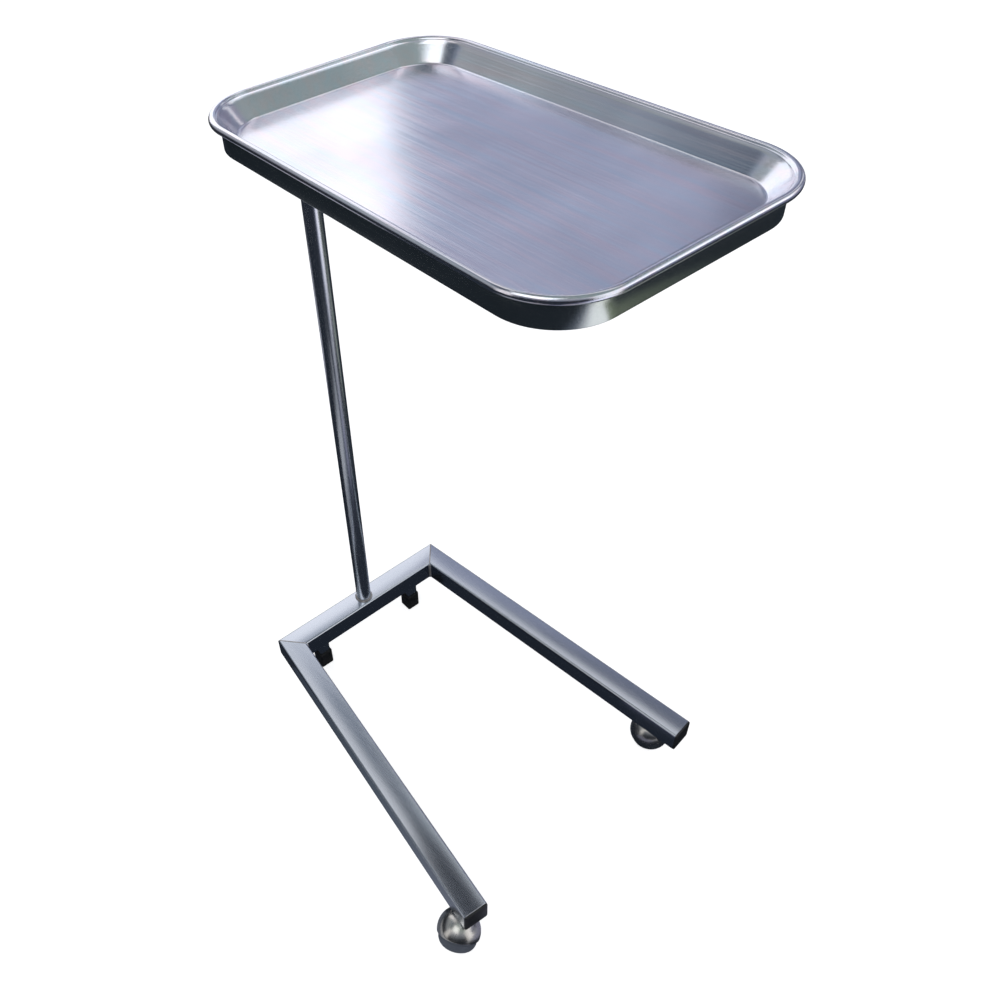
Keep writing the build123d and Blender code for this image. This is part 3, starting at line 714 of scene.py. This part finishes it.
ripples, rippleSockets = weldTree()


def makeWeld(name, paths, size, height, body, replaced=()):
    joined = bpy.data.meshes.new(name + "Path")
    points, edges = [], []
    for path, closed in paths:
        first = len(points)
        points += [Vector(p) * mm for p in path]
        edges += [(first + i, first + i + 1) for i in range(len(path) - 1)]
        if closed:
            edges.append((len(points) - 1, first))
    joined.from_pydata(points, edges, [])
    holder = bpy.data.objects.new(name + "Path", joined)
    bpy.context.scene.collection.objects.link(holder)
    modifier = holder.modifiers.new("ripples", "NODES")
    modifier.node_group = ripples
    for key, value in (("Spacing", weldShape["spacing"] * mm), ("Size", size * mm), ("Height", height * mm),
                       ("Seed", weldShape["seed"]), ("Metal", weldSteel)):
        modifier[rippleSockets[key]] = value
    graph = bpy.context.evaluated_depsgraph_get()
    mesh = bpy.data.meshes.new_from_object(holder.evaluated_get(graph))
    holder.modifiers.remove(modifier)
    bpy.data.objects.remove(holder)
    mesh.name = name
    return placePiece(name, mesh, weldSteel, body, replaced)


def circlePath(radius, height, steps=72):
    return [(radius * math.cos(2 * math.pi * k / steps),
             postShape["y"] + radius * math.sin(2 * math.pi * k / steps), height)
            for k in range(steps)]


def makeWelds():
    bottom, top = tubeShape["bottom"], tubeShape["bottom"] + tubeShape["side"]
    makeWeld("postFootWeld", [(circlePath(postShape["radius"] + 0.7, top + 0.3), True)], 2.0, 1.9, "base",
             ["post_weld"])
    makeWeld("mastTopWeld", [(circlePath(postShape["mastRadius"] + 0.7, postShape["mastTop"] - 0.3), True)],
             2.0, 1.9, "mast", ["mast_weld"])
    for side, hand in ((-1, "left"), (1, "right")):
        outer, way = cornerPoint(side), innerCorner(side) - cornerPoint(side)
        spot = innerCorner(side) + way.normalized() * 0.9
        upright = [spot + Vector((0, 0, z)) for z in (bottom + 3.5, top - 3.5)]
        makeWeld(hand + "CornerWeld", [(upright, False)], 2.1, 2.1, "base", [hand + "_corner_weld"])
        flat = [[outer + Vector((0, 0, z)) + way * k for k in (0.07, 0.97)]
                for z in (top - 0.25, bottom + 0.25)]
        makeWeld(hand + "MitreSeam", [(path, False) for path in flat], 1.3, 0.5, "base")
    stems = []
    width = footShape["stem"] + 0.6
    for side in (-1, 1):
        x = side * footShape["spacing"] / 2
        square = roundedRectangle(width, width, 2, 4)
        stems.append(([(x + u, footShape["y"] + v, footShape["top"] - 0.4) for u, v in square], True))
    makeWeld("footStemWelds", stems, 1.5, 1.4, "base")
    bars = []
    half = barShape["bearerWidth"] / 2 - 0.5
    for y in (barShape["rearY"], barShape["frontY"]):
        for side in (-1, 1):
            for x, z in ((barShape["bearerHalf"] - 0.3, barShape["bearerTop"] + 0.1),
                         (barShape["armWidth"] / 2 + 0.2, barShape["armTop"] - 0.1)):
                bars.append(([(side * x, y - half, z), (side * x, y + half, z)], False))
    makeWeld("bearerWelds", bars, 1.3, 1.2, "mast")


makeWelds()


# The clamp screw's thread: a fine ridge wound round the shank
def makeScrew(s):
    centre = (0, s["y"], s["screwHeight"])
    shank = [(0.001, s["screwStart"]), (s["screwRadius"] - 1, s["screwStart"]),
             (s["screwRadius"] - 0.5, s["screwStart"] + 0.7)]
    shank += [(s["screwRadius"] - 0.5, s["screwTip"]), (0.001, s["screwTip"])]
    shells = [spun(shank, centre, (1, 0, 0), 48, closed=False)]
    steps = 32
    root, crest = s["screwRadius"] - 0.6, s["screwRadius"] - 0.03
    rings = []
    for k in range(int((s["threadEnd"] - s["threadStart"]) / s["pitch"] * steps)):
        turn = 2 * math.pi * k / steps
        spots = []
        for radius, off in ((root, -0.5), (crest, -0.08), (crest, 0.08), (root, 0.5)):
            x = s["threadStart"] + s["pitch"] * k / steps + off
            spots.append(Vector((x, s["y"] + radius * math.cos(turn),
                                 s["screwHeight"] + radius * math.sin(turn))))
        rings.append(spots)
    shells.append(loft(rings, caps=True))
    makePiece("clampScrewThread", shells, zincSteel, "clamp", ["clamp_screw"])


makeScrew(postShape)
zincNodes = [hand + "_caster_" + name for name in ("stem", "race", "nut", "axle")
             for hand in ("left", "right")]
for name in ["mast_glide"] + zincNodes:
    material = nylon if name == "mast_glide" else zincSteel
    mesh = nodes[name].data
    if not mesh.materials:
        mesh.materials.append(material)
    for k in range(len(mesh.materials)):
        mesh.materials[k] = material
print("welds and small steel made")

cameraShape = {
    "place": (-0.5501, -0.6444, 1.3822), "azimuth": 324.43, "elevation": 43.2, "roll": -4.41, "focal": 925.8,
    "middle": (403.4, 478.6), "picture": 1000,
}


def makeCamera(s):
    a, e, r = (math.radians(s[k]) for k in ("azimuth", "elevation", "roll"))
    back = Vector((math.sin(a) * math.cos(e), -math.cos(a) * math.cos(e), math.sin(e)))
    level = Vector((math.cos(a), math.sin(a), 0))
    above = level.cross(-back)
    right = level * math.cos(r) + above * math.sin(r)
    up = above * math.cos(r) - level * math.sin(r)
    lens = bpy.data.cameras.new("camera")
    lens.sensor_width = 36
    lens.lens = s["focal"] * 36 / s["picture"]
    lens.shift_x = 0.5 - s["middle"][0] / s["picture"]
    lens.shift_y = s["middle"][1] / s["picture"] - 0.5
    lens.clip_start = 0.02
    camera = bpy.data.objects.new("camera", lens)
    camera.matrix_world = Matrix.Translation(s["place"]) @ Matrix((right, up, back)).transposed().to_4x4()
    bpy.context.scene.collection.objects.link(camera)
    bpy.context.scene.camera = camera


makeCamera(cameraShape)


# The rays that should find the white studio: what the camera sees straight or in metal and glass
def studioRays(tree):
    path = addNode(tree, "ShaderNodeLightPath").outputs
    either = addNode(tree, "ShaderNodeMath", links={0: path["Is Camera Ray"], 1: path["Is Glossy Ray"]},
                     operation="MAXIMUM")
    return addNode(tree, "ShaderNodeMath", links={0: either.outputs[0], 1: path["Is Transmission Ray"]},
                   operation="MAXIMUM").outputs[0]


studio = {"worldLevel": 0.42, "floorGlow": 0.78, "keyPower": 14, "fillPower": 5}


def makeWorld():
    world = bpy.data.worlds.new("studio")
    world.use_nodes = True
    bpy.context.scene.world = world
    tree = world.node_tree
    tree.nodes.clear()
    seen = addNode(tree, "ShaderNodeBackground", {"Color": (1, 1, 1, 1), "Strength": 1.0})
    light = addNode(tree, "ShaderNodeBackground",
                    {"Color": linear("#eef1f6"), "Strength": studio["worldLevel"]})
    mix = addNode(tree, "ShaderNodeMixShader", links={
        "Fac": studioRays(tree), 1: light.outputs["Background"], 2: seen.outputs["Background"]})
    addNode(tree, "ShaderNodeOutputWorld", links={"Surface": mix.outputs["Shader"]})


def flatMesh(name, corners):
    mesh = bpy.data.meshes.new(name)
    mesh.from_pydata([Vector(c) for c in corners], [], [(0, 1, 2, 3)])
    piece = bpy.data.objects.new(name, mesh)
    bpy.context.scene.collection.objects.link(piece)
    return piece


def makeFloor():
    floor = flatMesh("studioFloor", [(-9, -9, 0), (9, -9, 0), (9, 9, 0), (-9, 9, 0)])
    material, tree, shader, place = newMaterial("paperSweep")
    shader.inputs["Base Color"].default_value = linear("#eeeeee")
    shader.inputs["Roughness"].default_value = 0.9
    shader.inputs["Specular IOR Level"].default_value = 0.0
    shader.inputs["Emission Color"].default_value = (1, 1, 1, 1)
    glow = addNode(tree, "ShaderNodeMath", {1: studio["floorGlow"]}, {0: studioRays(tree)},
                   operation="MULTIPLY")
    tree.links.new(glow.outputs[0], shader.inputs["Emission Strength"])
    floor.data.materials.append(material)


trayMiddle = Vector((0, -0.03, 1.01))


# Glowing cards that only a reflection finds, standing in for the dark flags and soft boxes of a product set:
# they paint reflections, highlights and dark patches on the metal and light or shade nothing. Tones are
# (distance along the axis, colour) pairs, so a card can fall off in brightness
def makeCard(name, corners, tones, axis="Y", level=1.0):
    card = flatMesh(name, corners)
    material, tree, shader, place = newMaterial(name + "Cloth")
    tree.nodes.remove(shader)
    apart = addNode(tree, "ShaderNodeSeparateXYZ", links={"Vector": place})
    start, end = tones[0][0], tones[-1][0]
    way = addNode(tree, "ShaderNodeMapRange", {"From Min": start, "From Max": end},
                  {"Value": apart.outputs[axis]})
    ramp = addNode(tree, "ShaderNodeValToRGB", links={"Fac": way.outputs["Result"]})
    stops = ramp.color_ramp.elements
    while len(stops) < len(tones):
        stops.new(0.5)
    for stop, (spot, colour) in zip(stops, tones):
        stop.position = (spot - start) / (end - start)
    for stop, (spot, colour) in zip(stops, tones):
        stop.color = linear(colour)
    glow = addNode(tree, "ShaderNodeEmission", {"Strength": level}, {"Color": ramp.outputs["Color"]})
    tree.links.new(glow.outputs["Emission"], tree.nodes["Material Output"].inputs["Surface"])
    card.data.materials.append(material)
    for sight in ("camera", "diffuse", "transmission", "volume_scatter", "shadow"):
        setattr(card, "visible_" + sight, False)


def makeLevelCard(name, s):
    (left, right), (near, far) = s["x"], s["y"]
    farLeft, farRight = s.get("farX", s["x"])
    corners = [(left, near, s["z"]), (right, near, s["z"]), (farRight, far, s["z"]), (farLeft, far, s["z"])]
    makeCard(name, corners, s["tones"], s.get("axis", "Y"), s.get("level", 1.0))


def makeUprightCard(name, s):
    turn = math.radians(s["azimuth"])
    centre = Vector((math.cos(turn), math.sin(turn), 0)) * s["distance"]
    along = Vector((-math.sin(turn), math.cos(turn), 0)) * (s["width"] / 2)
    bottom, top = (Vector((0, 0, s["tones"][i][0])) for i in (0, -1))
    corners = [centre - along + bottom, centre + along + bottom, centre + along + top, centre - along + top]
    makeCard(name, corners, s["tones"], "Z", s.get("level", 1.0))


# A card on an upright plane, with its corners where the tray's middle sees them
def makeSightCard(name, s):
    turn = math.radians(s["azimuth"])
    facing = Vector((math.cos(turn), math.sin(turn), 0))
    corners = []
    for across, above in s["sights"]:
        a, e = math.radians(across), math.radians(above)
        way = Vector((math.cos(a) * math.cos(e), math.sin(a) * math.cos(e), math.sin(e)))
        corners.append(trayMiddle + way * (s["distance"] / way.dot(facing)))
    makeCard(name, corners, s["tones"], "X", s.get("level", 1.0))


def makeLamp(name, place, aim, size, power, colour):
    lamp = bpy.data.lights.new(name, "AREA")
    lamp.shape, lamp.size, lamp.energy, lamp.color = "SQUARE", size, power, linear(colour)[:3]
    holder = bpy.data.objects.new(name, lamp)
    holder.location = place
    holder.rotation_euler = (Vector(aim) - Vector(place)).to_track_quat("-Z", "Y").to_euler()
    bpy.context.scene.collection.objects.link(holder)


# Level cards: their ends in x and in y, in metres, and farX where the far side's ends differ
floorCards = {
    # Painted dark reflection: a dark sheet on the floor that only the metal sees; the camera sees the white
    # floor
    "floorPaintedDarkReflection": {"z": 0.0015, "x": (-5, 5), "y": (-5, 5), "tones": ((-5, "#2a303a"), (5, "#242a32"))},
    # Painted highlight in the metal: the soft white patch on the tray frame's near corner, and the olive
    # patch beside it
    "floorGlowCard": {"z": 0.002, "x": (-0.6, 1.3), "y": (-2.9, -0.85), "axis": "X", "level": 1.35, "tones": (
        (-0.6, "#2a303a"), (-0.3, "#5a5f70"), (-0.05, "#c9cad8"), (0.1, "#f6f6ff"), (0.66, "#f6f6ff"),
        (0.69, "#7d8572"), (1.3, "#2a303a"))},
    # Painted reflections: the light lines under the rim, on the left side and in front
    "floorRearCard": {"z": 0.002, "x": (-0.6, 0.1), "y": (1.0, 1.7),
                      "tones": ((1.0, "#b4b6c0"), (1.7, "#a0a3ad"))},
    "floorOliveCard": {"z": 0.002, "x": (0.6, 1.6), "y": (-0.6, -0.1), "axis": "X",
                       "tones": ((0.6, "#aab2aa"), (1.6, "#3a403c"))},
    # Painted reflections on the left leg's side and the left caster's hood and wheel
    "floorSideCard": {"z": 0.002, "x": (-0.62, -0.34), "y": (-0.4, 0.3),
                      "tones": ((-0.4, "#b9bcc2"), (0.3, "#c4c7cc"))},
    "floorLegCard": {"z": 0.002, "x": (-0.34, -0.24), "farX": (-0.34, -0.18), "y": (-0.4, 0.3),
                     "tones": ((-0.4, "#878a98"), (0.0, "#5a636e"), (0.3, "#3a424d"))},
    "floorFrontCard": {"z": 0.002, "x": (-0.25, 0.2), "y": (-0.72, -0.46),
                       "tones": ((-0.72, "#c4c7cc"), (-0.46, "#b9bcc2"))},
    "floorCasterCard": {"z": 0.002, "x": (-0.19, 0.1), "y": (-0.46, -0.15),
                        "tones": ((-0.46, "#9a9db2"), (-0.15, "#7d8094"))},
}
ceilingCards = {
    # Painted reflections: dark over the legs' tops, light over the crossbar's
    "ceilingPaintedReflection": {"z": 4, "x": (-4, 4.5), "y": (-4, 3.7), "tones": (
        (-4, "#9aa8a4"), (0.3, "#8f9d9b"), (0.8, "#3f4853"), (1.8, "#596471"), (2.5, "#8a95a4"),
        (3.0, "#d3dae6"), (3.7, "#ffffff"))},
    # Painted reflections overhead: a dark stretch on the right and a pale patch
    "ceilingRightPaintedDark": {"z": 3.98, "x": (2.1, 4.5), "y": (0.4, 3.6),
                         "tones": ((0.4, "#565c6c"), (2.0, "#747b8e"), (3.6, "#a4acbe"))},
    "ceilingPatch": {"z": 3.97, "x": (1.0, 1.75), "y": (0.3, 1.6),
                     "tones": ((0.3, "#c4cdd2"), (1.6, "#ccd5da"))},
    # Painted highlights: the bright lines at the foot of the tray's rear and right walls
    "rearFoldStrip": {"z": 3.95, "x": (1.5, 2.15), "y": (-0.7, 2.7), "level": 1.1,
                      "tones": ((-0.7, "#ffffff"), (2.7, "#ffffff"))},
    "sideFoldStrip": {"z": 3.95, "x": (-0.6, 0.55), "y": (1.0, 2.8), "level": 1.1,
                      "tones": ((1.0, "#ffffff"), (2.8, "#ffffff"))},
}
# Upright cards stand square to their azimuth, in degrees, and their tones run up them
uprightCards = {
    # Painted dark reflections behind, left and in front: dark up to about a metre, paler above
    "behindPaintedDark": {"azimuth": 222, "distance": 3.0, "width": 5.6, "tones": (
        (0.0, "#1f2329"), (1.05, "#2c3038"), (1.5, "#6a707a"), (2.6, "#9fa4ad"), (3.9, "#b8bcc4"))},
    "leftPaintedDark": {"azimuth": 120, "distance": 3.3, "width": 5.4, "tones": (
        (0.0, "#23282c"), (1.1, "#2c3038"), (1.4, "#7a8088"), (2.4, "#aab0b6"), (3.9, "#98a29f"))},
    "frontPaintedGrey": {"azimuth": 326, "distance": 3.3, "width": 4.4, "tones": (
        (0.0, "#4a4e5c"), (0.8, "#7d8196"), (1.7, "#9a9eb2"))},
    # Painted highlights: narrow glowing strips that only the metal sees
    "whiteStrip": {"azimuth": 286, "distance": 2.4, "width": 0.8, "level": 1.3,
                   "tones": ((0.05, "#ffffff"), (2.9, "#ffffff"))},
    "cornerStrip": {"azimuth": 6, "distance": 2.9, "width": 0.3, "level": 1.2,
                    "tones": ((1.6, "#ffffff"), (3.6, "#ffffff"))},
    # Painted grey reflection on the right
    "rightPaintedGrey": {"azimuth": 18, "distance": 3.2, "width": 3.4,
                  "tones": ((0.5, "#7c8094"), (3.9, "#82889c"))},
}
# A glowing card that only the metal sees, which paints the white reflection on the tray's left half, and its
# dim edge.
# Their sights are each corner's azimuth and elevation from the tray
sightCards = {
    "trayPaintedHighlightEdge": {"azimuth": 50, "distance": 3.05, "sights": ((22, 12), (62, 6), (62, 40), (30, 38)),
                 "tones": ((-2, "#a9afc5"), (4, "#a9afc5"))}, "trayPaintedHighlight": {"azimuth": 66, "distance": 3.0,
    "sights": ((28, 6), (104, 6), (104, 40), (54, 38)), "level": 1.45,
    "tones": ((-2, "#ffffff"), (4, "#f6f8ff"))},
}

makeWorld()
makeFloor()
for name, card in {**floorCards, **ceilingCards}.items():
    makeLevelCard(name, card)
for name, card in uprightCards.items():
    makeUprightCard(name, card)
for name, card in sightCards.items():
    makeSightCard(name, card)
makeLamp("keyLamp", (-1.6, -0.6, 3.0), (0, 0, 0.4), 1.8, studio["keyPower"], "#ffffff")
makeLamp("fillLamp", (1.8, -1.8, 2.2), (0, 0, 0.4), 1.6, studio["fillPower"], "#f2f5ff")
bpy.context.scene.view_settings.view_transform = "Standard"
print("studio made")
